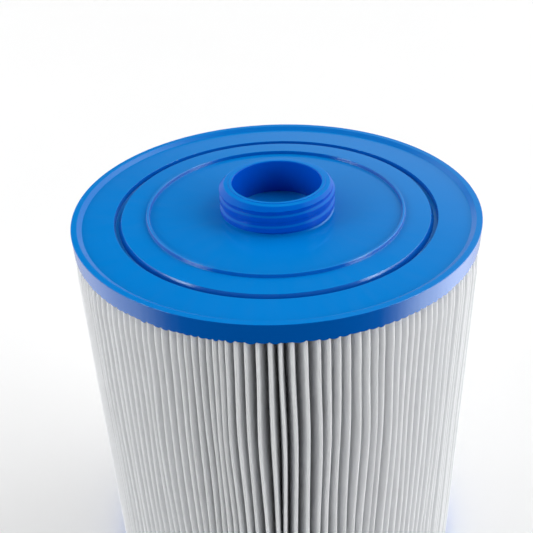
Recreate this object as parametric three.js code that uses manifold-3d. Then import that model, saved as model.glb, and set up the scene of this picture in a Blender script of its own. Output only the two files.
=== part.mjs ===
// Pleated filter cartridge for a spa or pool, 8 1/2 inches across and 10 inches tall.
// Millimetres, +Z up, origin at the centre of the lower rim's resting plane.
// Outside: two cast end caps, a threaded neck and a folded fabric pack.
// Inside: a perforated core, the plug that closes its upper end, the ring that lines the outlet,
// and the strip that joins the two ends of the folded fabric.
import * as THREE from "three";
import { mergeVertices } from "three/addons/utils/BufferGeometryUtils.js";
import Module from "manifold-3d";

const wasm = await Module();
wasm.setup();

// ---- driving dimensions ----
const GAP = 0.3; // left between pieces that touch
const BODY_HEIGHT = 240; // from the lower rim's face to the upper rim's face
const CAP_RADIUS = 108;
const CAP_DRAFT = 0.25; // the rim's side leans in by this much at its inner edge
const CAP_THICKNESS = 10;
const EDGE_ROUND = 0.6;
const FACE_DEPTH = 1.9; // how far the cap's flats lie below its rim and its ridge
const RIM_LAND = 2.7; // flat top of the rim
const RIM_SLOPE = 2.2; // width of the rim's sloping inner wall
const GROOVE_OUTER = 85.8;
const GROOVE_INNER = 82.0;
const GROOVE_DEPTH = 3.0; // below the flats
const RIDGE_OUTER = 68.9;
const RIDGE_INNER = 67.0;
const RIDGE_DRAFT = 0.25;
const CAP_SEGMENTS = 60;

const NECK_SHIFT = 1.1; // the neck is set in the cap this far off its axis, towards +X
const NECK_HEIGHT = 14.1; // above the upper rim's face
const NECK_BORE = 23.6;
const NECK_FLOOR = 4.3; // depth of the bore's floor below the upper rim's face
const NECK_TOP_RADIUS = 27.7;
const THREAD_ROOT = 29.4;
const THREAD_CREST = 30.7;
const THREAD_PITCH = 6.0;
const THREAD_CREST_WIDTH = 2.2;
const THREAD_FLANK = 1.3;
const THREAD_PHASE = 7.15; // height of a crest above the rim's face at the -Y side
const LEAD_IN_END = 11.1; // the lead-in cone meets the crests at this height above the rim's face
const NECK_SEGMENTS = 40;
const NECK_ROWS = 18;

const FLANGE_RADIUS = 38.0; // anchor flanges of the neck and of the outlet ring, cast into the caps
const FLANGE_DEPTH = 5.5; // from the rim's face down to the flange
const FLANGE_THICKNESS = 2.5;
const OUTLET_BORE = 27.0;
const OUTLET_OUTER = 31.0;
const OUTLET_PROUD = 0.9; // how far the ring stands out of the lower cap's flat
const OUTLET_SLEEVE = 14.0; // how high the ring reaches into the core

const CORE_OUTER = 41.6;
const CORE_WALL = 3.0;
const CORE_SEGMENTS = 36;
const WINDOW_ROWS = 9;
const WINDOW_COLUMNS = 6;
const WINDOW_WIDTH = 24;
const WINDOW_RIB = 5.5; // height of the ring left between two rows of windows
const PLUG_THICKNESS = 2.5;
const PLUG_SPIGOT = 5;
const BOSS_DEPTH = 14; // the upper cap's middle reaches this far below its rim's face

const PLEATS = 160;
const PLEAT_TIP_RADIUS = 108.4;
const PLEAT_ROOT_RADIUS = 42.0;
const CLOTH = 0.45; // thickness of the folded fabric
const TIP_WIDTH = 1.5; // outer width of one fold at its tip
const VALLEY_WIDTH = 0.5; // width of the bottom of the valley between two pleats
const SEAM_INNER = 75;
const SEAM_OUTER = 87;
const SEAM_THICKNESS = 0.9;

// ---- helpers ----
function lathe(profile, segments = CAP_SEGMENTS) {
  const points = profile.map(([r, z]) => new THREE.Vector2(r, z));
  // LatheGeometry turns about Y, so the quarter turn about X stands the shape up along Z.
  return new THREE.LatheGeometry(points, segments).rotateX(Math.PI / 2);
}

function closed(profile) {
  return [...profile, profile[0]];
}

function piece(name, geometry, material) {
  const mesh = new THREE.Mesh(geometry, material);
  mesh.name = name;
  return mesh;
}

function toSolid(geometry) {
  const bare = geometry.index ? geometry.toNonIndexed() : geometry.clone();
  bare.deleteAttribute("normal");
  bare.deleteAttribute("uv");
  const merged = mergeVertices(bare, 1e-3);
  const vertProperties = merged.attributes.position.array;
  const triVerts = new Uint32Array(merged.index.array);
  return new wasm.Manifold(new wasm.Mesh({ numProp: 3, vertProperties, triVerts }));
}

function toGeometry(solid) {
  const mesh = solid.getMesh();
  const geometry = new THREE.BufferGeometry();
  geometry.setAttribute("position", new THREE.BufferAttribute(mesh.vertProperties, 3));
  geometry.setIndex(new THREE.BufferAttribute(mesh.triVerts, 1));
  geometry.computeVertexNormals();
  return geometry;
}

// ---- materials ----
const capResin = new THREE.MeshStandardMaterial({ color: 0x0080d6, roughness: 0.2, metalness: 0 });
const neckPlastic = new THREE.MeshStandardMaterial({ color: 0x0060d8, roughness: 0.25, metalness: 0 });
const cloth = new THREE.MeshStandardMaterial({ color: 0xf2f3f4, roughness: 0.9, metalness: 0 });
const corePlastic = new THREE.MeshStandardMaterial({ color: 0xe9e9e6, roughness: 0.5, metalness: 0 });
const seamPlastic = new THREE.MeshStandardMaterial({ color: 0xd8d9d4, roughness: 0.4, metalness: 0 });

// ---- end caps ----
// One end cap's outer face as [radius, depth below the rim's face], from the rim's side inwards.
function capFace() {
  const rimInner = CAP_RADIUS - EDGE_ROUND - RIM_LAND;
  return [
    [CAP_RADIUS - CAP_DRAFT, CAP_THICKNESS],
    [CAP_RADIUS, EDGE_ROUND],
    [CAP_RADIUS - EDGE_ROUND, 0],
    [rimInner, 0],
    [rimInner - RIM_SLOPE, FACE_DEPTH],
    [GROOVE_OUTER, FACE_DEPTH],
    [GROOVE_OUTER - 0.4, FACE_DEPTH + GROOVE_DEPTH],
    [GROOVE_INNER + 1.6, FACE_DEPTH + GROOVE_DEPTH],
    [GROOVE_INNER, FACE_DEPTH],
    [RIDGE_OUTER, FACE_DEPTH],
    [RIDGE_OUTER - RIDGE_DRAFT, 0],
    [RIDGE_INNER + RIDGE_DRAFT, 0],
    [RIDGE_INNER, FACE_DEPTH],
  ];
}

// Inner end of a cap's face: the wall around a cast-in flange, from the flat down to depth `end`.
function flangePocket(sleeve, end) {
  const top = FLANGE_DEPTH - GAP;
  const bottom = FLANGE_DEPTH + FLANGE_THICKNESS + GAP;
  return [
    [sleeve + GAP, FACE_DEPTH],
    [sleeve + GAP, top],
    [FLANGE_RADIUS + GAP, top],
    [FLANGE_RADIUS + GAP, bottom],
    [end, bottom],
  ];
}

function makeTopCap() {
  const resinPlug = NECK_BORE - GAP;
  const profile = [
    [0, BOSS_DEPTH],
    [CORE_OUTER, BOSS_DEPTH],
    [CORE_OUTER, CAP_THICKNESS],
    ...capFace(),
    ...flangePocket(THREAD_ROOT, resinPlug),
    [resinPlug, NECK_FLOOR],
    [0, NECK_FLOOR],
  ];
  const geometry = lathe(profile.map(([r, depth]) => [r, BODY_HEIGHT - depth]));
  // The pocket and the resin inside the neck follow the neck off the cap's axis.
  const position = geometry.attributes.position;
  for (let i = 0; i < position.count; i += 1) {
    const radius = Math.hypot(position.getX(i), position.getY(i));
    const inPocket = radius < FLANGE_RADIUS + GAP + 0.01;
    if (inPocket && position.getZ(i) > BODY_HEIGHT - CAP_THICKNESS) {
      position.setX(i, position.getX(i) + NECK_SHIFT);
    }
  }
  return geometry;
}

function makeBottomCap() {
  const boreWall = OUTLET_OUTER + GAP;
  const profile = [
    [boreWall, CAP_THICKNESS],
    ...capFace(),
    ...flangePocket(OUTLET_OUTER, boreWall),
  ];
  // Read the other way round, because this cap's face looks down.
  return lathe(closed(profile).reverse());
}

// ---- threaded neck ----
function smoothStep(low, high, value) {
  const t = Math.min(1, Math.max(0, (value - low) / (high - low)));
  return t * t * (3 - 2 * t);
}

// Outer radius of the neck at an angle and a height above the upper rim's face.
function neckRadius(angle, height) {
  const turns = (angle + Math.PI / 2) / (2 * Math.PI);
  const offset = (height - THREAD_PHASE) / THREAD_PITCH - turns;
  const fromCrest = Math.abs(offset - Math.round(offset)) * THREAD_PITCH;
  const half = THREAD_CREST_WIDTH / 2;
  const ridge = 1 - smoothStep(half, half + THREAD_FLANK, fromCrest);
  const thread = THREAD_ROOT + (THREAD_CREST - THREAD_ROOT) * ridge;
  const slope = (THREAD_CREST - NECK_TOP_RADIUS) / (NECK_HEIGHT - LEAD_IN_END);
  const cone = NECK_TOP_RADIUS + slope * (NECK_HEIGHT - height);
  return Math.min(thread, cone);
}

function makeNeck() {
  const flangeTop = -FLANGE_DEPTH;
  const flangeBottom = -FLANGE_DEPTH - FLANGE_THICKNESS;
  const threadStart = -FACE_DEPTH + GAP;
  const wall = [];
  for (let row = 0; row <= NECK_ROWS; row += 1) {
    const height = threadStart + (row / NECK_ROWS) * (NECK_HEIGHT - threadStart);
    wall.push([THREAD_ROOT, height]);
  }
  const profile = [
    [NECK_BORE, flangeBottom],
    [FLANGE_RADIUS, flangeBottom],
    [FLANGE_RADIUS, flangeTop],
    [THREAD_ROOT, flangeTop],
    ...wall,
    [NECK_BORE + 0.5, NECK_HEIGHT],
    [NECK_BORE, NECK_HEIGHT - 0.5],
  ];
  const geometry = lathe(closed(profile), NECK_SEGMENTS);
  const position = geometry.attributes.position;
  for (let i = 0; i < position.count; i += 1) {
    const x = position.getX(i);
    const y = position.getY(i);
    const height = position.getZ(i);
    const onWall = Math.abs(Math.hypot(x, y) - THREAD_ROOT) < 0.01;
    if (onWall && height > threadStart + 0.01) {
      const angle = Math.atan2(y, x);
      const radius = neckRadius(angle, height);
      position.setXY(i, radius * Math.cos(angle), radius * Math.sin(angle));
    }
  }
  return geometry.translate(NECK_SHIFT, 0, BODY_HEIGHT);
}

// ---- outlet ring and core ----
function makeOutletRing() {
  const start = FACE_DEPTH - OUTLET_PROUD;
  const profile = [
    [OUTLET_BORE, start],
    [OUTLET_OUTER, start],
    [OUTLET_OUTER, FLANGE_DEPTH],
    [FLANGE_RADIUS, FLANGE_DEPTH],
    [FLANGE_RADIUS, FLANGE_DEPTH + FLANGE_THICKNESS],
    [OUTLET_OUTER, FLANGE_DEPTH + FLANGE_THICKNESS],
    [OUTLET_OUTER, OUTLET_SLEEVE],
    [OUTLET_BORE, OUTLET_SLEEVE],
  ];
  return lathe(closed(profile), CORE_SEGMENTS);
}

function makeCore() {
  const inner = CORE_OUTER - CORE_WALL;
  const low = CAP_THICKNESS + GAP;
  const high = BODY_HEIGHT - BOSS_DEPTH - PLUG_THICKNESS - 2 * GAP;
  const tube = [
    [inner, low],
    [CORE_OUTER, low],
    [CORE_OUTER, high],
    [inner, high],
  ];
  let solid = toSolid(lathe(closed(tube), CORE_SEGMENTS));
  const margin = 2 * WINDOW_RIB;
  const rowPitch = (high - low - 2 * margin + WINDOW_RIB) / WINDOW_ROWS;
  const windowHeight = rowPitch - WINDOW_RIB;
  for (let row = 0; row < WINDOW_ROWS; row += 1) {
    const z = low + margin + row * rowPitch + windowHeight / 2;
    for (let column = 0; column < WINDOW_COLUMNS / 2; column += 1) {
      const turn = (column + 0.5) * ((2 * Math.PI) / WINDOW_COLUMNS);
      const cutter = new THREE.BoxGeometry(3 * CORE_OUTER, WINDOW_WIDTH, windowHeight);
      cutter.rotateZ(turn).translate(0, 0, z);
      solid = solid.subtract(toSolid(cutter));
    }
  }
  return toGeometry(solid);
}

function makeCorePlug() {
  const top = BODY_HEIGHT - BOSS_DEPTH - GAP;
  const underside = top - PLUG_THICKNESS;
  const spigot = CORE_OUTER - CORE_WALL - GAP;
  const profile = [
    [0, underside],
    [spigot - CORE_WALL, underside],
    [spigot - CORE_WALL, underside - PLUG_SPIGOT],
    [spigot, underside - PLUG_SPIGOT],
    [spigot, underside],
    [CORE_OUTER, underside],
    [CORE_OUTER, top],
    [0, top],
  ];
  return lathe(profile, CORE_SEGMENTS);
}

// ---- folded fabric ----
// A point at radius r, pushed sideways by `side` from the pleat's middle angle.
function pleatPoint(radius, side, angle) {
  const x = radius * Math.cos(angle) - side * Math.sin(angle);
  const y = radius * Math.sin(angle) + side * Math.cos(angle);
  return new THREE.Vector2(x, y);
}

function makeMedia() {
  const step = (2 * Math.PI) / PLEATS;
  const outside = [];
  const inside = [];
  for (let i = 0; i < PLEATS; i += 1) {
    const tip = i * step;
    const valley = (i + 0.5) * step;
    outside.push(pleatPoint(PLEAT_TIP_RADIUS, -TIP_WIDTH / 2, tip));
    outside.push(pleatPoint(PLEAT_TIP_RADIUS, TIP_WIDTH / 2, tip));
    outside.push(pleatPoint(PLEAT_ROOT_RADIUS + CLOTH, -VALLEY_WIDTH / 2, valley));
    outside.push(pleatPoint(PLEAT_ROOT_RADIUS + CLOTH, VALLEY_WIDTH / 2, valley));
    inside.push(pleatPoint(PLEAT_TIP_RADIUS - CLOTH, CLOTH - TIP_WIDTH / 2, tip));
    inside.push(pleatPoint(PLEAT_TIP_RADIUS - CLOTH, TIP_WIDTH / 2 - CLOTH, tip));
    inside.push(pleatPoint(PLEAT_ROOT_RADIUS, -VALLEY_WIDTH / 2 - CLOTH, valley));
    inside.push(pleatPoint(PLEAT_ROOT_RADIUS, VALLEY_WIDTH / 2 + CLOTH, valley));
  }
  const shape = new THREE.Shape(outside);
  shape.holes.push(new THREE.Path(inside));
  const low = CAP_THICKNESS + GAP;
  const depth = BODY_HEIGHT - 2 * low;
  const geometry = new THREE.ExtrudeGeometry(shape, { depth, bevelEnabled: false });
  return geometry.translate(0, 0, low);
}

function makeSeamStrip() {
  const low = CAP_THICKNESS + GAP;
  const height = BODY_HEIGHT - 2 * low;
  const geometry = new THREE.BoxGeometry(SEAM_OUTER - SEAM_INNER, SEAM_THICKNESS, height);
  const turn = Math.PI / 2 + Math.PI / PLEATS;
  geometry.translate((SEAM_INNER + SEAM_OUTER) / 2, 0, BODY_HEIGHT / 2);
  return geometry.rotateZ(turn);
}

// ---- assembly ----
const cartridge = new THREE.Group();
cartridge.add(
  piece("top_end_cap", makeTopCap(), capResin),
  piece("threaded_neck", makeNeck(), neckPlastic),
  piece("core_plug", makeCorePlug(), corePlastic),
  piece("core_tube", makeCore(), corePlastic),
  piece("pleated_media", makeMedia(), cloth),
  piece("side_seam_strip", makeSeamStrip(), seamPlastic),
  piece("outlet_ring", makeOutletRing(), neckPlastic),
  piece("bottom_end_cap", makeBottomCap(), capResin),
);

export default cartridge;
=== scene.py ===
# Filter cartridge for a spa: the finished look around its CAD frame. Metres, +Z up.
import math

import bmesh
import bpy
import numpy as np
from mathutils import Matrix, Vector


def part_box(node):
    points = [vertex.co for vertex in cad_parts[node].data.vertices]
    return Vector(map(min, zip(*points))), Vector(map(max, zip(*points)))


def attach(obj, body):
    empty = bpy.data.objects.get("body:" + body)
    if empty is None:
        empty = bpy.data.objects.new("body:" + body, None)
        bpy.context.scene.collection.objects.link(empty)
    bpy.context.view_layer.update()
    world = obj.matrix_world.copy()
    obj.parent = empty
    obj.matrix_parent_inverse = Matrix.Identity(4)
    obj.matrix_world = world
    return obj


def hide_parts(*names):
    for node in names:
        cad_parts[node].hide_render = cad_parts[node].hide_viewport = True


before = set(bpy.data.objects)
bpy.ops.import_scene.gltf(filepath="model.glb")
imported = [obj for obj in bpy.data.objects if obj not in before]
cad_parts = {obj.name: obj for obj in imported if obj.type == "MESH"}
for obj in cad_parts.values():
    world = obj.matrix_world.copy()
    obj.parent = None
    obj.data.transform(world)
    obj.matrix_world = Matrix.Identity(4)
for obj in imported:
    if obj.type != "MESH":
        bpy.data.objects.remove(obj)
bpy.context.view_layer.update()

MM = 0.001

# ---- sizes, from the frame ----
cap_low, cap_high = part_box("top_end_cap")
neck_low, neck_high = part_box("threaded_neck")
media_low, media_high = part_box("pleated_media")
core_low, core_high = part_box("core_tube")
plug_low, plug_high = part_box("core_plug")
ring_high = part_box("outlet_ring")[1]
seam_low, seam_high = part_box("side_seam_strip")

GAP = 0.3 * MM  # between pieces that touch
CAP_R = cap_high.x
RIM_TOP = cap_high.z  # height of the upper rim's face
CAP_BOSS = RIM_TOP - cap_low.z  # depth of the cap's middle, which reaches down to the plug
CAP_THICK = RIM_TOP - media_high.z - GAP  # depth of the cap over the pleats
TIP_R = media_high.x
NECK_TOP = neck_high.z - RIM_TOP
FLANGE_R = neck_high.y
NECK_SHIFT = neck_high.x - neck_high.y  # the neck is set this far off the cap's axis
FLANGE_LOW = RIM_TOP - neck_low.z
CORE_R = core_high.x

# ---- mould details: radii, depths under the rim's face, and the thread's heights over it ----
FACE_DEPTH = 1.9 * MM
RIM_LAND = 2.7 * MM
RIM_SLOPE = 2.2 * MM
GROOVE_OUTER = 85.8 * MM
GROOVE_INNER = 82.0 * MM
GROOVE_DEPTH = 3.0 * MM
RIDGE_OUTER = 68.9 * MM
RIDGE_INNER = 67.0 * MM
DRAFT = 0.25 * MM
FLANGE_TOP = 5.5 * MM
NECK_BORE = 23.6 * MM
NECK_FLOOR = 4.3 * MM
NECK_EDGE_R = 27.7 * MM
THREAD_ROOT = 29.4 * MM
THREAD_CREST = 30.7 * MM
THREAD_PITCH = 6.0 * MM
THREAD_WIDTH = 2.0 * MM
THREAD_FLANK = 1.4 * MM
THREAD_PHASE = 7.15 * MM  # height of a crest on the side that faces the camera
LEAD_IN_END = 11.1 * MM  # above this height the thread dies out in a cone
OUTLET_BORE = 27.0 * MM
OUTLET_OUTER = 31.0 * MM
OUTLET_PROUD = 0.9 * MM
CORE_WALL = 3.0 * MM
PLUG_THICK = 2.5 * MM

# ---- the folded sheet ----
PLEATS = 160
ROOT_R = 42.0 * MM
CLOTH = 0.45 * MM
TIP_HALF = 0.78 * MM  # half the outer width of a fold at its tip
VALLEY_HALF = 0.25 * MM  # half the open width of a fold at its root
CAST_IN = 1.3 * MM  # the sheet's ends reach this far into the resin
SAMPLES_PER_PLEAT = 8  # of a cap's edge


# ---------------------------------------------------------------- mesh helpers
def make_object(name, vertices, faces, material, sharp=35.0):
    """A piece on the root body, shaded smooth but for edges over sharp degrees."""
    mesh = bpy.data.meshes.new(name)
    mesh.from_pydata([tuple(v) for v in vertices], [], [tuple(f) for f in faces])
    work = bmesh.new()
    work.from_mesh(mesh)
    bmesh.ops.recalc_face_normals(work, faces=work.faces)
    work.to_mesh(mesh)
    work.free()
    mesh.shade_smooth()
    mesh.set_sharp_from_angle(angle=math.radians(sharp))
    mesh.materials.append(material)
    piece = bpy.data.objects.new(name, mesh)
    bpy.context.scene.collection.objects.link(piece)
    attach(piece, "root")
    return piece


def rounded(corners, steps=4, closed=False):
    """(radius, height, fillet) corners as a profile.

    Each fillet is an arc with a support point at each end, which keeps the shading next to it flat.
    """
    most, support, support_share = 0.42, 0.1 * MM, 0.05
    out = []
    count = len(corners)
    for i, (radius, height, fillet) in enumerate(corners):
        here = np.array((radius, height))
        at_end = not closed and i in (0, count - 1)
        if fillet <= 0 or at_end:
            out.append(here)
            continue
        before = np.array(corners[i - 1][:2]) - here
        after = np.array(corners[(i + 1) % count][:2]) - here
        length_before = np.linalg.norm(before)
        length_after = np.linalg.norm(after)
        before = before / length_before
        after = after / length_after
        half = math.acos(np.clip(before @ after, -1, 1)) / 2
        reach = min(fillet / math.tan(half), most * length_before, most * length_after)
        fillet = reach * math.tan(half)
        middle = before + after
        centre = here + middle / np.linalg.norm(middle) * fillet / math.sin(half)
        start = here + before * reach - centre
        end = here + after * reach - centre
        turn = math.pi - 2 * half
        out.append(here + before * (reach + min(support, support_share * length_before)))
        for k in range(steps + 1):
            t = k / steps
            mix = math.sin((1 - t) * turn) * start + math.sin(t * turn) * end
            out.append(centre + mix / math.sin(turn))
        out.append(here + after * (reach + min(support, support_share * length_after)))
    return np.array(out)


def revolve(name, profile, angles, material, closed=False, warp=None):
    """Turns a profile of (radius, height) about Z.

    warp takes the grids of angle, radius and height, and gives the radius and height to build.
    """
    count, turns = len(profile), len(angles)
    theta = np.repeat(np.asarray(angles)[:, None], count, axis=1)
    radius = np.tile(profile[:, 0], (turns, 1))
    height = np.tile(profile[:, 1], (turns, 1))
    if warp is not None:
        radius, height = warp(theta, radius, height)
    points = np.stack([radius * np.cos(theta), radius * np.sin(theta), height], axis=2)
    vertices, index = [], np.zeros((turns, count), int)
    for j in range(count):
        on_axis = profile[j, 0] < 1e-9
        for i in range(turns):
            if on_axis and i:
                index[i, j] = index[0, j]
                continue
            index[i, j] = len(vertices)
            vertices.append(points[i, j])
    faces = []
    spans = [(j, (j + 1) % count) for j in range(count if closed else count - 1)]
    for i in range(turns):
        k = (i + 1) % turns
        for a, b in spans:
            corners = dict.fromkeys((index[i, a], index[k, a], index[k, b], index[i, b]))
            if len(corners) > 2:
                faces.append(list(corners))
    return make_object(name, vertices, faces, material)


def even_angles(count):
    """Angles all the way round, the first at 0."""
    return np.arange(count) * (2 * math.pi / count)


def smooth(low, high, value):
    """0 below low, 1 above high, and an S-curve between them."""
    t = np.clip((value - low) / (high - low), 0, 1)
    return t * t * (3 - 2 * t)


# ---------------------------------------------------------------- materials
class Tree:
    """A node tree, with short calls for the nodes used here."""

    def __init__(self, tree):
        self.tree = tree

    def add(self, kind, **settings):
        node = self.tree.nodes.new(kind)
        for key, value in settings.items():
            setattr(node, key, value)
        return node

    def link(self, output, socket):
        self.tree.links.new(output, socket)

    def remap(self, value, from_low, from_high, to_low, to_high, **settings):
        """The value moved from one range to another, and held at the range's ends."""
        node = self.add("ShaderNodeMapRange", **settings)
        node.inputs["From Min"].default_value = from_low
        node.inputs["From Max"].default_value = from_high
        node.inputs["To Min"].default_value = to_low
        node.inputs["To Max"].default_value = to_high
        self.link(value, node.inputs["Value"])
        return node.outputs["Result"]

    def math(self, operation, *values):
        """A math node over numbers and other nodes' outputs."""
        node = self.add("ShaderNodeMath", operation=operation)
        for socket, value in zip(node.inputs, values):
            if isinstance(value, (int, float)):
                socket.default_value = value
            else:
                self.link(value, socket)
        return node.outputs["Value"]

    def vector_math(self, operation, vector, second=None, scale=None):
        node = self.add("ShaderNodeVectorMath", operation=operation)
        self.link(vector, node.inputs[0])
        if second is not None:
            node.inputs[1].default_value = second
        if scale is not None:
            node.inputs["Scale"].default_value = scale
        return node.outputs["Value" if operation == "LENGTH" else "Vector"]

    def split(self, vector):
        """The outputs X, Y and Z of a vector."""
        node = self.add("ShaderNodeSeparateXYZ")
        self.link(vector, node.inputs["Vector"])
        return node.outputs


class Material(Tree):
    """A material around one Principled shader, in the object's own space.

    The colour and roughness given hold where no node is linked over them.
    """

    def __init__(self, name, colour, roughness):
        self.material = bpy.data.materials.new(name)
        self.material.use_nodes = True
        super().__init__(self.material.node_tree)
        self.shader = self.tree.nodes["Principled BSDF"]
        self.shader.inputs["Base Color"].default_value = (*colour, 1)
        self.shader.inputs["Roughness"].default_value = roughness
        self.place = self.add("ShaderNodeTexCoord").outputs["Object"]

    def noise(self, vector, scale, detail=3.0, roughness=0.5):
        node = self.add("ShaderNodeTexNoise")
        node.inputs["Scale"].default_value = scale
        node.inputs["Detail"].default_value = detail
        node.inputs["Roughness"].default_value = roughness
        self.link(vector, node.inputs["Vector"])
        return node.outputs["Fac"]

    def blend(self, factor, first, second):
        """From one colour to another, each a tuple or a node's output."""
        node = self.add("ShaderNodeMix", data_type="RGBA")
        self.link(factor, node.inputs["Factor"])
        for key, colour in (("A", first), ("B", second)):
            if isinstance(colour, tuple):
                node.inputs[key].default_value = (*colour, 1)
            else:
                self.link(colour, node.inputs[key])
        return node.outputs["Result"]

    def bump(self, height, distance, strength=1.0, after=None):
        node = self.add("ShaderNodeBump")
        node.inputs["Strength"].default_value = strength
        node.inputs["Distance"].default_value = distance
        self.link(height, node.inputs["Height"])
        if after is not None:
            self.link(after, node.inputs["Normal"])
        return node.outputs["Normal"]

    def wall(self):
        """0 where the surface faces straight up or down, 1 where it stands as a wall; it places the
        painted shade on walls.
        """
        normal = self.split(self.add("ShaderNodeNewGeometry").outputs["Normal"])
        return self.remap(self.math("ABSOLUTE", normal["Z"]), 0.6, 0.97, 1, 0)

    def stretched(self, stretch):
        return self.vector_math("MULTIPLY", self.place, stretch)

    def radial(self, around, along):
        """A vector that is the same all along a spoke but for a slow change outwards."""
        flat = self.stretched((1, 1, 0))
        spoke = self.vector_math("NORMALIZE", flat)
        spoke = self.vector_math("SCALE", spoke, scale=around)
        radius = self.vector_math("LENGTH", flat)
        rise = self.add("ShaderNodeCombineXYZ")
        self.link(self.remap(radius, 0, 1, 0, along), rise.inputs["Z"])
        total = self.add("ShaderNodeVectorMath", operation="ADD")
        self.link(spoke, total.inputs[0])
        self.link(rise.outputs["Vector"], total.inputs[1])
        return total.outputs["Vector"]


def resin_material():
    """Glossy cast resin: faint flow streaks from the middle outwards, and a slight ripple; its
    walls are painted a darker blue as shade.
    """
    n = Material("cast_resin", (0.0, 0.205, 0.66), 0.16)
    cloud = n.noise(n.place, 18, 2)
    # Lit and shaded copies of one blue: the darker one on walls is painted shade.
    faces = n.blend(cloud, (0.0, 0.19, 0.59), (0.0, 0.21, 0.645))
    shaded_walls = n.blend(cloud, (0.0, 0.1, 0.46), (0.0, 0.114, 0.5))
    streak = n.noise(n.radial(14, 30), 1.6, 4, 0.6)
    ripple = n.bump(n.noise(n.place, 60, 2), 0.05 * MM, 0.35)
    n.link(n.blend(n.wall(), faces, shaded_walls), n.shader.inputs["Base Color"])
    n.link(n.remap(streak, 0.3, 0.7, 0.13, 0.21), n.shader.inputs["Roughness"])
    n.link(n.bump(streak, 0.05 * MM, 0.5, ripple), n.shader.inputs["Normal"])
    n.shader.inputs["IOR"].default_value = 1.5
    n.shader.inputs["Specular IOR Level"].default_value = 0.5
    n.shader.inputs["Specular Tint"].default_value = (0.72, 0.95, 1.0, 1.0)
    return n.material


def neck_material():
    """Glossy moulded plastic, a deeper blue than the resin, with painted shade in a darker blue on
    its walls.
    """
    n = Material("moulded_neck_plastic", (0.0, 0.10, 0.62), 0.2)
    cloud = n.noise(n.place, 40, 2)
    # Lit and shaded copies of one blue: the darker one on walls is painted shade.
    faces = n.blend(cloud, (0.0, 0.18, 0.59), (0.0, 0.20, 0.65))
    shaded_walls = n.blend(cloud, (0.0, 0.07, 0.48), (0.0, 0.082, 0.54))
    n.link(n.blend(n.wall(), faces, shaded_walls), n.shader.inputs["Base Color"])
    n.link(n.remap(n.noise(n.place, 300, 3), 0.3, 0.7, 0.17, 0.25), n.shader.inputs["Roughness"])
    n.link(n.bump(n.noise(n.place, 180, 3), 0.04 * MM, 0.4), n.shader.inputs["Normal"])
    n.shader.inputs["IOR"].default_value = 1.5
    n.shader.inputs["Specular IOR Level"].default_value = 0.12
    n.shader.inputs["Specular Tint"].default_value = (0.35, 0.85, 1.0, 1.0)
    return n.material


def fabric_material():
    """White spunbond polyester: matted fibres, faintly cloudy, thin enough to glow a little."""
    n = Material("spunbond_polyester", (0.93, 0.93, 0.915), 0.85)
    cloud = n.noise(n.stretched((1, 1, 0.25)), 260, 4, 0.6)
    fibres = n.noise(n.stretched((1, 1, 0.4)), 2600, 4, 0.7)
    pressed = n.bump(n.noise(n.place, 500, 2), 0.12 * MM, 0.4)
    colour = n.blend(cloud, (0.93, 0.94, 0.95), (0.955, 0.96, 0.97))
    n.link(colour, n.shader.inputs["Base Color"])
    n.link(n.remap(fibres, 0.3, 0.7, 0.75, 0.95), n.shader.inputs["Roughness"])
    n.link(n.bump(fibres, 0.06 * MM, 0.6, pressed), n.shader.inputs["Normal"])
    n.shader.inputs["Sheen Weight"].default_value = 0.15
    through = n.add("ShaderNodeBsdfTranslucent")
    through.inputs["Color"].default_value = (0.955, 0.96, 0.965, 1)
    both = n.add("ShaderNodeMixShader")
    both.inputs["Fac"].default_value = 0.42
    n.link(n.shader.outputs["BSDF"], both.inputs[1])
    n.link(through.outputs["BSDF"], both.inputs[2])
    n.link(both.outputs["Shader"], n.tree.nodes["Material Output"].inputs["Surface"])
    return n.material


def core_material():
    """Off-white moulded plastic with a fine grain."""
    n = Material("core_plastic", (0.80, 0.80, 0.77), 0.5)
    cloud = n.noise(n.place, 120, 3)
    colour = n.blend(cloud, (0.76, 0.76, 0.73), (0.82, 0.82, 0.79))
    n.link(colour, n.shader.inputs["Base Color"])
    n.link(n.remap(cloud, 0.3, 0.7, 0.42, 0.58), n.shader.inputs["Roughness"])
    n.link(n.bump(n.noise(n.place, 900, 3), 0.05 * MM, 0.5), n.shader.inputs["Normal"])
    return n.material


def seam_material():
    """Hot melt: milky, smooth and a little lumpy."""
    n = Material("hot_melt", (0.72, 0.72, 0.68), 0.35)
    cloud = n.noise(n.stretched((1, 1, 0.2)), 200, 3)
    colour = n.blend(cloud, (0.68, 0.68, 0.62), (0.76, 0.76, 0.73))
    n.link(colour, n.shader.inputs["Base Color"])
    n.link(n.remap(cloud, 0.3, 0.7, 0.28, 0.42), n.shader.inputs["Roughness"])
    n.link(n.bump(cloud, 0.2 * MM, 0.6), n.shader.inputs["Normal"])
    return n.material


def floor_material():
    """Plain pale paper, faintly cloudy."""
    n = Material("pale_floor", (0.93, 0.93, 0.93), 0.7)
    colour = n.blend(n.noise(n.place, 3, 2), (0.88, 0.88, 0.88), (0.90, 0.90, 0.90))
    n.link(colour, n.shader.inputs["Base Color"])
    return n.material


RESIN = resin_material()
NECK_PLASTIC = neck_material()
FABRIC = fabric_material()
CORE_PLASTIC = core_material()
HOT_MELT = seam_material()


# ---------------------------------------------------------------- pleat layout
FRONT = -math.pi / 2  # the side that faces the camera


def crowding(from_front):
    """How widely the pleats are spaced, against their mean, at an angle from the front."""
    bunched = -0.30 * np.exp(-(((from_front + 17) / 6) ** 2))
    opened = 0.24 * np.exp(-(((from_front - 1.5) / 8.5) ** 2))
    eased = 0.14 * np.exp(-(((from_front - 14) / 4) ** 2))
    tight = -0.10 * np.exp(-(((from_front - 36) / 9) ** 2))
    far = 0.12 * np.sin(np.radians(from_front) * 3 + 1.1) * smooth(45, 80, np.abs(from_front))
    return 1 + bunched + opened + eased + tight + far


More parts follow.
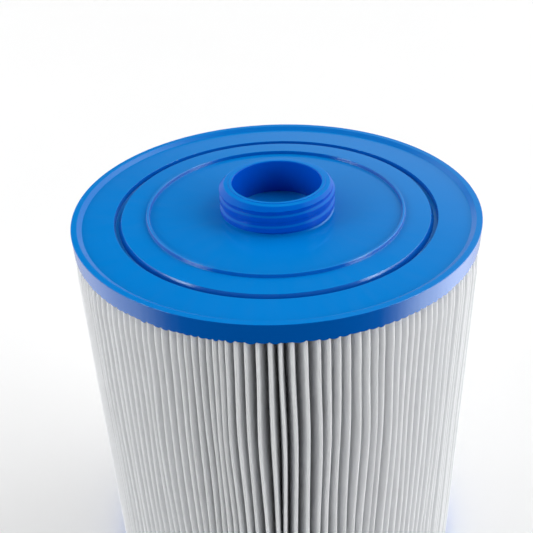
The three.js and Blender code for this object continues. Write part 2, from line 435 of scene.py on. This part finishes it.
def pleat_angles():
    """The tips' angles: pleats are pressed into the mould by hand, so no two gaps are alike."""
    draw = np.random.default_rng(11)
    jitter = 1 + 0.12 * draw.standard_normal(PLEATS).clip(-1.6, 1.6)
    place = even_angles(PLEATS)
    for _ in range(6):  # the spacing depends on the place, so it is found in a few passes
        from_front = (np.degrees(place) + 180) % 360 - 180
        gap = crowding(from_front) * jitter
        gap *= 2 * math.pi / gap.sum()
        place = np.concatenate([[0], np.cumsum(gap)[:-1]])
        place -= place[np.argmin(np.abs(place - math.pi))] - math.pi
    return place + FRONT


TIP_ANGLES = pleat_angles()
TIP_GAPS = np.diff(np.append(TIP_ANGLES, TIP_ANGLES[0] + 2 * math.pi))


# ---------------------------------------------------------------- end caps
def edge_angles():
    """Angles for a cap: the gap between two tips is split evenly, so the edge follows them."""
    steps = np.arange(SAMPLES_PER_PLEAT) / SAMPLES_PER_PLEAT
    return (TIP_ANGLES[:, None] + TIP_GAPS[:, None] * steps).ravel()


def resin_edge(seed):
    """How far the resin's edge hangs down at each edge angle: up at a tip, down in a valley."""
    draw = np.random.default_rng(seed)
    lift = draw.uniform(0.0, 0.55, PLEATS) * MM
    hang = draw.uniform(0.1, 0.9, PLEATS) * MM
    phase = np.arange(SAMPLES_PER_PLEAT) / SAMPLES_PER_PLEAT
    hump = np.sin(math.pi * phase) ** 0.7
    lift_next = np.roll(lift, -1)
    tips = lift[:, None] * (1 - phase) + lift_next[:, None] * phase
    return (hang[:, None] * hump - tips * (1 - hump)).ravel()


def cap_face():
    """A cap's outer face as (radius, depth from the rim's face, fillet), from the side inwards."""
    rim_inner = CAP_R - 0.6 * MM - RIM_LAND
    return [
        (CAP_R, 0.0, 0.3 * MM),
        (rim_inner + 0.2 * MM, 0.12 * MM, 0.12 * MM),
        (rim_inner - RIM_SLOPE, FACE_DEPTH, 0.3 * MM),
        (GROOVE_OUTER, FACE_DEPTH, 0.15 * MM),
        (GROOVE_OUTER - 0.3 * MM, FACE_DEPTH + GROOVE_DEPTH, 0.5 * MM),
        (GROOVE_INNER + 1.6 * MM, FACE_DEPTH + GROOVE_DEPTH, 0.5 * MM),
        (GROOVE_INNER, FACE_DEPTH, 0.2 * MM),
        (RIDGE_OUTER, FACE_DEPTH, 0.15 * MM),
        (RIDGE_OUTER - DRAFT, 0.0, 0.55 * MM),
        (RIDGE_INNER + DRAFT, 0.0, 0.55 * MM),
        (RIDGE_INNER, FACE_DEPTH, 0.15 * MM),
    ]


def side_of_cap():
    """The face on the pleats near the rim, and the side's edge there, like cap_face."""
    return [
        (CAP_R - 6 * MM, CAP_THICK, 0.0),
        (CAP_R - 1.6 * MM, CAP_THICK, 0.0),
        (CAP_R - DRAFT, CAP_THICK, 0.25 * MM),
    ]


def cap_warp(seed, sign):
    """Moves the edge on the pleats by resin_edge; sign is -1 where that edge looks down."""
    hang = resin_edge(seed)[:, None]

    def warp(theta, radius, height):
        depth = RIM_TOP - height if sign < 0 else height
        near_edge = smooth(CAP_THICK - 1.2 * MM, CAP_THICK - 0.1 * MM, depth)
        outer = smooth(CAP_R - 3.0 * MM, CAP_R - 0.8 * MM, radius)
        return radius, height + sign * hang * near_edge * outer

    return warp


def make_top_cap():
    """The cap with a pocket for the neck's flange; its resin inside the neck is a floor."""
    inside_neck = NECK_BORE - 0.02 * MM
    pocket = FLANGE_LOW + GAP
    pocket_r = FLANGE_R + GAP
    corners = [
        (0.0, CAP_BOSS, 0.0),
        (CORE_R, CAP_BOSS, 0.3 * MM),
        (CORE_R, CAP_THICK, 0.0),
        *side_of_cap(),
        *cap_face(),
        (THREAD_ROOT + 0.9 * MM, FACE_DEPTH, 0.4 * MM),
        (THREAD_ROOT + 0.12 * MM, FACE_DEPTH - 0.5 * MM, 0.0),
        (THREAD_ROOT + 0.1 * MM, FLANGE_TOP - GAP, 0.0),
        (pocket_r, FLANGE_TOP - GAP, 0.0),
        (pocket_r, pocket, 0.0),
        (inside_neck, pocket, 0.0),
        (inside_neck, NECK_FLOOR, 0.1 * MM),
        (0.0, NECK_FLOOR, 0.0),
    ]
    profile = rounded(corners)
    profile[:, 1] = RIM_TOP - profile[:, 1]
    warp = cap_warp(3, -1)
    cap = revolve("top_cap_cast", profile, edge_angles(), RESIN, warp=warp)
    # What fits the neck goes off the axis with it.
    for vertex in cap.data.vertices:
        x, y, z = vertex.co
        if math.hypot(x, y) < pocket_r + 0.01 * MM and z > RIM_TOP - CAP_THICK:
            vertex.co.x += NECK_SHIFT
    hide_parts("top_end_cap")


def make_bottom_cap():
    """The same face the other way up, round the outlet ring and its flange."""
    wall = OUTLET_OUTER + 0.1 * MM
    pocket_r = FLANGE_R + GAP
    corners = [
        (wall, CAP_THICK, 0.0),
        *side_of_cap(),
        *cap_face(),
        (wall + 0.8 * MM, FACE_DEPTH, 0.4 * MM),
        (wall, FACE_DEPTH - 0.5 * MM, 0.0),
        (wall, FLANGE_TOP - GAP, 0.0),
        (pocket_r, FLANGE_TOP - GAP, 0.0),
        (pocket_r, FLANGE_LOW + GAP, 0.0),
        (wall, FLANGE_LOW + GAP, 0.0),
    ]
    profile = rounded(corners)
    warp = cap_warp(4, 1)
    cap = revolve(
        "bottom_cap_cast", profile, edge_angles(), RESIN, closed=True, warp=warp
    )
    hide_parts("bottom_end_cap")


# ---------------------------------------------------------------- neck
def neck_radius(angle, height):
    """The neck's outside at a height from the rim's face: a right-hand thread under a cone."""
    turns = (angle - FRONT) / (2 * math.pi)
    offset = (height - THREAD_PHASE) / THREAD_PITCH - turns
    from_crest = np.abs(offset - np.round(offset)) * THREAD_PITCH
    half = THREAD_WIDTH / 2
    ridge = 1 - smooth(half, half + THREAD_FLANK, from_crest)
    tall = THREAD_CREST - THREAD_ROOT
    slope = (THREAD_CREST - NECK_EDGE_R) / (NECK_TOP - LEAD_IN_END)
    cone = NECK_EDGE_R + slope * (NECK_TOP - height)
    return np.minimum(THREAD_ROOT + tall * ridge, cone)


def make_neck():
    """A tube on a flange, with heights from the rim's face until the warp lifts it there."""
    rows = 96
    start = -FACE_DEPTH + 0.3 * MM
    rise = NECK_TOP - 0.6 * MM - start
    wall = [(THREAD_ROOT, start + rise * k / rows, 0.0) for k in range(rows + 1)]
    corners = [
        (NECK_BORE, -FLANGE_LOW, 0.0),
        (FLANGE_R, -FLANGE_LOW, 0.3 * MM),
        (FLANGE_R, -FLANGE_TOP, 0.3 * MM),
        (THREAD_ROOT, -FLANGE_TOP, 0.0),
        *wall,
        (NECK_EDGE_R + 0.15 * MM, NECK_TOP - 0.32 * MM, 0.2 * MM),
        (NECK_BORE + 2.05 * MM, NECK_TOP - 0.22 * MM, 0.06 * MM),
        (NECK_BORE + 1.9 * MM, NECK_TOP, 0.06 * MM),
        (NECK_BORE + 0.4 * MM, NECK_TOP, 0.12 * MM),
        (NECK_BORE, NECK_TOP - 0.45 * MM, 0.15 * MM),
    ]
    profile = rounded(corners, steps=3, closed=True)

    def warp(theta, radius, height):
        on_wall = (np.abs(radius - THREAD_ROOT) < 1e-7) & (height > start + 0.05 * MM)
        radius = np.where(on_wall, neck_radius(theta, height), radius)
        return radius, height + RIM_TOP

    angles = even_angles(288)
    neck = revolve(
        "neck_moulded", profile, angles, NECK_PLASTIC, closed=True, warp=warp
    )
    for vertex in neck.data.vertices:
        vertex.co.x += NECK_SHIFT
    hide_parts("threaded_neck")


# ---------------------------------------------------------------- inner pieces
def make_outlet_ring():
    """A sleeve through the lower cap, on a flange cast into it."""
    bottom = FACE_DEPTH - OUTLET_PROUD
    corners = [
        (OUTLET_BORE, bottom, 0.5 * MM),
        (OUTLET_OUTER, bottom, 0.5 * MM),
        (OUTLET_OUTER, FLANGE_TOP, 0.0),
        (FLANGE_R, FLANGE_TOP, 0.3 * MM),
        (FLANGE_R, FLANGE_LOW, 0.3 * MM),
        (OUTLET_OUTER, FLANGE_LOW, 0.0),
        (OUTLET_OUTER, ring_high.z, 0.6 * MM),
        (OUTLET_BORE, ring_high.z, 0.6 * MM),
    ]
    profile = rounded(corners, closed=True)
    angles = even_angles(192)
    ring = revolve(
        "outlet_ring_moulded", profile, angles, NECK_PLASTIC, closed=True
    )
    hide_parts("outlet_ring")


def make_core_plug():
    """A lid on the core's upper end, with a skirt that goes down inside it."""
    lip = plug_high.x - CORE_WALL - GAP
    under = plug_high.z - PLUG_THICK
    corners = [
        (0.0, under, 0.0),
        (lip - CORE_WALL, under, 0.8 * MM),
        (lip - CORE_WALL, plug_low.z, 0.5 * MM),
        (lip, plug_low.z, 0.8 * MM),
        (lip, under, 0.0),
        (plug_high.x, under, 0.4 * MM),
        (plug_high.x, plug_high.z, 0.4 * MM),
        (0.0, plug_high.z, 0.0),
    ]
    profile = rounded(corners)
    angles = even_angles(160)
    plug = revolve("core_plug_moulded", profile, angles, CORE_PLASTIC)
    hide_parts("core_plug")


def make_core():
    """A moulded cage: rings and ribs with square windows, built cell by cell."""
    rows, columns = 9, 6
    ring = 5.5 * MM
    margin = 2 * ring
    half_window = math.asin(12 * MM / CORE_R)
    window_steps, rib_steps = 12, 8
    low, high = core_low.z, core_high.z
    pitch = (high - low - 2 * margin + ring) / rows

    # The heights of the cells, and which of those cells are a row of windows.
    edges_z, open_z = [low], []
    for row in range(rows):
        start = low + margin + row * pitch
        edges_z += [start, start + pitch - ring]
        open_z.append(len(edges_z) - 2)
    edges_z.append(high)

    # The angles of the cells, and which of those cells are part of a window.
    arcs, open_a = [], set()
    for column in range(columns):
        middle = (column + 0.5) * 2 * math.pi / columns
        window = np.linspace(middle - half_window, middle + half_window, window_steps + 1)
        gap_end = (column + 1) * 2 * math.pi / columns + math.pi / columns - half_window
        rib = np.linspace(window[-1], gap_end, rib_steps + 1)[1:-1]
        open_a |= set(range(len(arcs), len(arcs) + window_steps))
        arcs += [*window, *rib]

    turns, levels = len(arcs), len(edges_z)
    vertices = []
    for radius in (CORE_R - CORE_WALL, CORE_R):
        for z in edges_z:
            vertices += [(radius * math.cos(a), radius * math.sin(a), z) for a in arcs]

    def at(layer, level, turn):
        return (layer * levels + level) * turns + turn % turns

    def solid(level, turn):
        inside = 0 <= level < levels - 1
        return inside and not (level in open_z and turn % turns in open_a)

    faces = []

    def add_face(*corners):
        faces.append([at(*corner) for corner in corners])

    for level in range(levels - 1):
        up = level + 1
        for turn in range(turns):
            on = turn + 1
            if not solid(level, turn):
                continue
            for layer in (0, 1):
                add_face(
                    (layer, level, turn), (layer, level, on), (layer, up, on), (layer, up, turn)
                )
            for beside, edge in ((turn - 1, turn), (on, on)):
                if not solid(level, beside):
                    add_face((0, level, edge), (1, level, edge), (1, up, edge), (0, up, edge))
            for beside, edge in ((level - 1, level), (up, up)):
                if not solid(beside, turn):
                    add_face((0, edge, turn), (1, edge, turn), (1, edge, on), (0, edge, on))
    core = make_object("core_cage", vertices, faces, CORE_PLASTIC)
    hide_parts("core_tube")


# ---------------------------------------------------------------- folded sheet
def level_heights():
    """Heights of the sheet's rows: close together where it enters the resin, then even."""
    low, high = media_low.z - GAP, media_high.z + GAP
    ends = np.array([-CAST_IN, 0.4 * MM, 1.8 * MM, 4.5 * MM])
    first_even, even_rows = 11 * MM, 17
    middle = np.linspace(low + first_even, high - first_even, even_rows)
    return np.concatenate([low + ends, middle, (high - ends)[::-1]])


def sway(heights):
    """Sideways drift of each tip at each height: neighbours lean together, held at the ends."""
    draw = np.random.default_rng(21)
    low, high = heights[0], heights[-1]
    held = 70 * MM  # the resin steadies the sheet this far from each end
    hold = smooth(low, low + held, heights) * smooth(-high, -high + held, -heights)
    along = (heights - low) / (high - low)
    drift = np.zeros((len(heights), PLEATS))
    for waves, rise, size in ((3, 0.9, 1.0), (7, 1.4, 0.6), (16, 1.1, 0.45), (37, 1.7, 0.25)):
        phase = draw.uniform(0, 2 * math.pi, 2)
        side = np.sin(waves * TIP_ANGLES + phase[0])[None, :]
        up = np.sin(2 * math.pi * rise * along + phase[1])[:, None]
        drift += size * MM * side * up
    own = draw.standard_normal((3, PLEATS)) * 0.14 * MM
    for k in range(3):
        drift += own[k][None, :] * np.sin((k + 1) * math.pi * along)[:, None]
    return drift * hold[:, None]


def outward_and_sideways(angles):
    """Unit vectors away from the axis and along the circle, one row for each angle."""
    out = np.stack([np.cos(angles), np.sin(angles)], 1)
    return out, np.stack([-out[:, 1], out[:, 0]], 1)


def root_angles():
    """The roots lie more evenly round the core than the tips do round the rim."""
    even = even_angles(PLEATS) + TIP_ANGLES[0] + math.pi / PLEATS
    return 0.75 * even + 0.25 * (TIP_ANGLES + TIP_GAPS / 2)


def sheet_rows(heights):
    """The sheet's middle line at each height: rows of (x, y), closed all the way round."""
    draw = np.random.default_rng(5)
    tip_shy = draw.uniform(0.0, 0.7, PLEATS) * MM  # how far each tip falls short of the circle
    width = draw.uniform(0.85, 1.25, PLEATS)
    puffed = draw.uniform(0.78, 0.97, PLEATS)  # how nearly two pleats touch, part of the way in
    from_end = np.minimum(heights - heights[0], heights[-1] - heights) - CAST_IN
    pulled = 0.95 * MM * (1 - smooth(0.2 * MM, 9 * MM, from_end))  # inwards, next to the resin
    drift = sway(heights)
    tip_mid = TIP_HALF - CLOTH / 2
    root_mid = VALLEY_HALF + CLOTH / 2
    centre_root = ROOT_R + CLOTH / 2 + root_mid
    root_out, root_side = outward_and_sideways(root_angles())

    rows = []
    for level in range(len(heights)):
        centre_tip = TIP_R - tip_shy - pulled[level] - TIP_HALF
        tip_out, tip_side = outward_and_sideways(TIP_ANGLES + drift[level] / TIP_R)
        tips = []
        for turn in np.radians((-90, -45, 0, 45, 90)):
            reach = tip_mid * width * math.sin(turn)
            rise = tip_mid * math.cos(turn)
            tips.append(tip_out * (centre_tip + rise)[:, None] + tip_side * reach[:, None])
        valley = []
        for turn in np.radians((-90, 0, 90)):
            reach = root_mid * math.sin(turn)
            rise = root_mid * math.cos(turn)
            valley.append(root_out * (centre_root - rise) + root_side * reach)
        # On the way down into each valley, the two walls puff out until they nearly touch.
        down, up = [], []
        next_tip = np.roll(tips[0], -1, axis=0)
        for share, touch in ((0.11, 0.5), (0.32, 1.0)):
            near = tips[-1] * (1 - share) + valley[0] * share
            far = next_tip * (1 - share) + valley[-1] * share
            between = (near + far) / 2
            half = np.linalg.norm(far - near, axis=1) / 2
            closed = np.minimum(CLOTH / 2 + 0.12 * MM, half)
            pinch = 1 - touch * puffed * (1 - closed / half)
            down.append(between + (near - between) * pinch[:, None])
            up.insert(0, between + (far - between) * pinch[:, None])
        rows.append(np.stack([*tips, *down, *valley, *up], 1).reshape(-1, 2))
    return np.array(rows)


def make_media():
    """The whole sheet: its middle line thickened to both sides, with closed ends."""
    heights = level_heights()
    middle = sheet_rows(heights)
    levels, count = middle.shape[:2]
    ahead = np.roll(middle, -1, axis=1) - np.roll(middle, 1, axis=1)
    ahead /= np.linalg.norm(ahead, axis=2, keepdims=True)
    normal = np.stack([ahead[..., 1], -ahead[..., 0]], 2)
    z = np.repeat(heights[:, None], count, axis=1)[..., None]
    vertices = []
    for side in (1, -1):
        skin = middle + side * normal * CLOTH / 2
        vertices.append(np.concatenate([skin, z], 2).reshape(-1, 3))

    a = np.arange(levels * count).reshape(levels, count)
    b = np.roll(a, -1, axis=1)
    wall = np.stack([a[:-1], b[:-1], b[1:], a[1:]], 2).reshape(-1, 4)
    other = levels * count
    faces = [wall, wall + other]
    for row in (0, levels - 1):
        faces.append(np.stack([a[row], b[row], b[row] + other, a[row] + other], 1))
    vertices = np.concatenate(vertices)
    faces = np.concatenate(faces).tolist()
    media = make_object("media_folded", vertices, faces, FABRIC, sharp=60)
    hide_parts("pleated_media")


def make_seam():
    """The hot-melt strip in the valley furthest back, slightly uneven along its height."""
    inner, outer = 75 * MM, 87 * MM
    half = 0.42 * MM
    rows, knots = 40, 12
    outline = [(0, -1), (0.5, -1), (1, -0.5), (1, 0.5), (0.5, 1), (0, 1)]
    roots = root_angles()
    from_back = (roots - math.pi / 2 + math.pi) % (2 * math.pi) - math.pi
    angle = roots[np.argmin(np.abs(from_back))]
    draw = np.random.default_rng(9)
    heights = np.linspace(seam_low.z, seam_high.z, rows)
    knot_heights = np.linspace(heights[0], heights[-1], knots)
    wave = np.interp(heights, knot_heights, draw.uniform(-1, 1, knots))
    vertices = []
    for z, w in zip(heights, wave):
        for along, across in outline:
            set_back = 0.8 * MM * (1 + w) if along == 1 else 0
            r = inner + (outer - inner) * along - set_back
            s = across * half * (0.9 + 0.1 * w)
            x = r * math.cos(angle) - s * math.sin(angle)
            y = r * math.sin(angle) + s * math.cos(angle)
            vertices.append((x, y, z))
    count = len(outline)
    faces = []
    for low in range(0, (rows - 1) * count, count):
        high = low + count
        for k in range(count):
            following = (k + 1) % count
            faces.append((low + k, low + following, high + following, high + k))
    faces.append(tuple(range(count)))
    faces.append(tuple(range((rows - 1) * count, rows * count)))
    strip = make_object("seam_strip", vertices, faces, HOT_MELT, sharp=50)
    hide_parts("side_seam_strip")


# ---------------------------------------------------------------- studio
def make_floor():
    """A pale sheet that only the camera sees, so light from all round still reaches the object."""
    mesh = bpy.data.meshes.new("floor")
    work = bmesh.new()
    bmesh.ops.create_circle(work, cap_ends=True, segments=96, radius=6.0)
    work.to_mesh(mesh)
    work.free()
    floor = bpy.data.objects.new("floor", mesh)
    bpy.context.scene.collection.objects.link(floor)
    mesh.materials.append(floor_material())
    floor.visible_glossy = False
    floor.visible_diffuse = False
    floor.visible_shadow = False


def make_world():
    """A white tent, open at the front and darker above, as soft studio light.

    The light depends on a ray's direction: X to the right, Y away from the camera, Z up.
    """
    world = bpy.data.worlds.new("studio")
    bpy.context.scene.world = world
    world.use_nodes = True
    n = Tree(world.node_tree)
    n.tree.nodes.clear()

    def ramp(value, low, high, to_low, to_high):
        return n.remap(value, low, high, to_low, to_high, interpolation_type="SMOOTHSTEP")

    def product(*factors):
        total = factors[0]
        for factor in factors[1:]:
            total = n.math("MULTIPLY", total, factor)
        return total

    direction = n.add("ShaderNodeTexCoord").outputs["Generated"]
    parts = n.split(direction)
    heading = n.split(n.vector_math("NORMALIZE", n.vector_math("MULTIPLY", direction, (1, 1, 0))))
    rays = n.add("ShaderNodeLightPath")
    gloss = rays.outputs["Is Glossy Ray"]
    matt = n.math("SUBTRACT", 1.0, gloss)

    # Two large boxes at the sides that fade towards the back, the right one brighter.
    beside = ramp(heading["Y"], -0.56, -0.02, 0.0, 1.0)
    toward_right = ramp(heading["X"], -0.2, 0.2, 0.0, 1.0)
    toward_left = n.math("SUBTRACT", 1.0, toward_right)
    right = product(ramp(heading["Y"], 0.25, 1.0, 3.6, 0.72), toward_right)
    left = product(ramp(heading["Y"], 0.35, 1.0, 1.7, 0.72), toward_left)
    boxes = product(n.math("ADD", right, left), beside)
    # They reach high at the sides and end low at the back, a little lower on the left.
    lift = ramp(n.math("ABSOLUTE", heading["X"]), 0.38, 0.65, 0.0, 0.36)
    tilt = ramp(heading["X"], -0.35, 0.35, -0.09, 0.07)
    level = n.math("SUBTRACT", parts["Z"], n.math("ADD", lift, tilt))
    boxes = product(boxes, ramp(level, 0.30, 0.54, 1.0, 0.0))
    # The gloss shows them at full strength, and diffusers change what falls on the cloth.
    softened = product(ramp(heading["X"], -0.5, 0.5, 1.05, 0.70), matt)
    boxes = product(boxes, n.math("ADD", softened, gloss))

    # Two brighter boxes stand at the front corners.
    corner = product(
        ramp(heading["Y"], -0.56, -0.42, 0.0, 5.0),
        ramp(heading["Y"], -0.22, -0.05, 1.0, 0.0),
        ramp(parts["Z"], 0.16, 0.26, 0.0, 1.0),
        ramp(parts["Z"], 0.46, 0.58, 1.0, 0.0),
        n.math("ADD", product(gloss, 2.0), 1.0),
    )
    # In front there is only a low band of light above the horizon, too soft for the gloss to show.
    band = product(
        ramp(parts["Z"], -0.04, 0.06, 0.0, 1.6),
        ramp(parts["Z"], 0.38, 0.5, 1.0, 0.0),
        n.math("SUBTRACT", 1.0, beside),
        matt,
    )
    # So is the light from overhead.
    top = product(
        ramp(parts["Z"], 0.55, 0.72, 0.0, 1.2),
        ramp(parts["Y"], -0.25, 0.05, 0.0, 1.0),
        matt,
    )
    total = n.math("ADD", n.math("ADD", n.math("ADD", boxes, corner), band), top)

    light = n.add("ShaderNodeBackground")
    light.inputs["Color"].default_value = (1, 1, 1, 1)
    n.link(total, light.inputs["Strength"])
    # The camera sees plain white behind the floor.
    plain = n.add("ShaderNodeBackground")
    plain.inputs["Color"].default_value = (1, 1, 1, 1)
    plain.inputs["Strength"].default_value = 1.0
    mix = n.add("ShaderNodeMixShader")
    n.link(rays.outputs["Is Camera Ray"], mix.inputs["Fac"])
    n.link(light.outputs["Background"], mix.inputs[1])
    n.link(plain.outputs["Background"], mix.inputs[2])
    n.link(mix.outputs["Shader"], n.add("ShaderNodeOutputWorld").inputs["Surface"])


def make_camera():
    """In front and above, looking down on the cap's near side, slightly rolled."""
    distance = 4.1241 * CAP_R
    rise = math.radians(28.32)
    roll = math.radians(-2.318)
    aim = Vector((-0.0472 * CAP_R, -0.57 * CAP_R, RIM_TOP))
    place = Vector((0, -distance * math.cos(rise), RIM_TOP + distance * math.sin(rise)))
    forward = (aim - place).normalized()
    right = forward.cross(Vector((0, 0, 1))).normalized()
    up = right.cross(forward)
    across = math.cos(roll) * right + math.sin(roll) * up
    upward = math.cos(roll) * up - math.sin(roll) * right
    data = bpy.data.cameras.new("camera")
    data.sensor_width = 36
    data.lens = 56.13
    data.clip_start = 0.01
    data.clip_end = 50
    camera = bpy.data.objects.new("camera", data)
    axes = Matrix((across, upward, -forward)).transposed()
    camera.matrix_world = Matrix.Translation(place) @ axes.to_4x4()
    bpy.context.scene.collection.objects.link(camera)
    bpy.context.scene.camera = camera


make_camera()
make_top_cap()
make_bottom_cap()
make_neck()
make_outlet_ring()
make_core_plug()
make_core()
make_media()
make_seam()
make_floor()
make_world()

# Light has to find its way out from between the folds.
bpy.context.scene.cycles.diffuse_bounces = 10
settings = bpy.context.scene.view_settings
settings.view_transform = "Standard"
settings.look = "None"
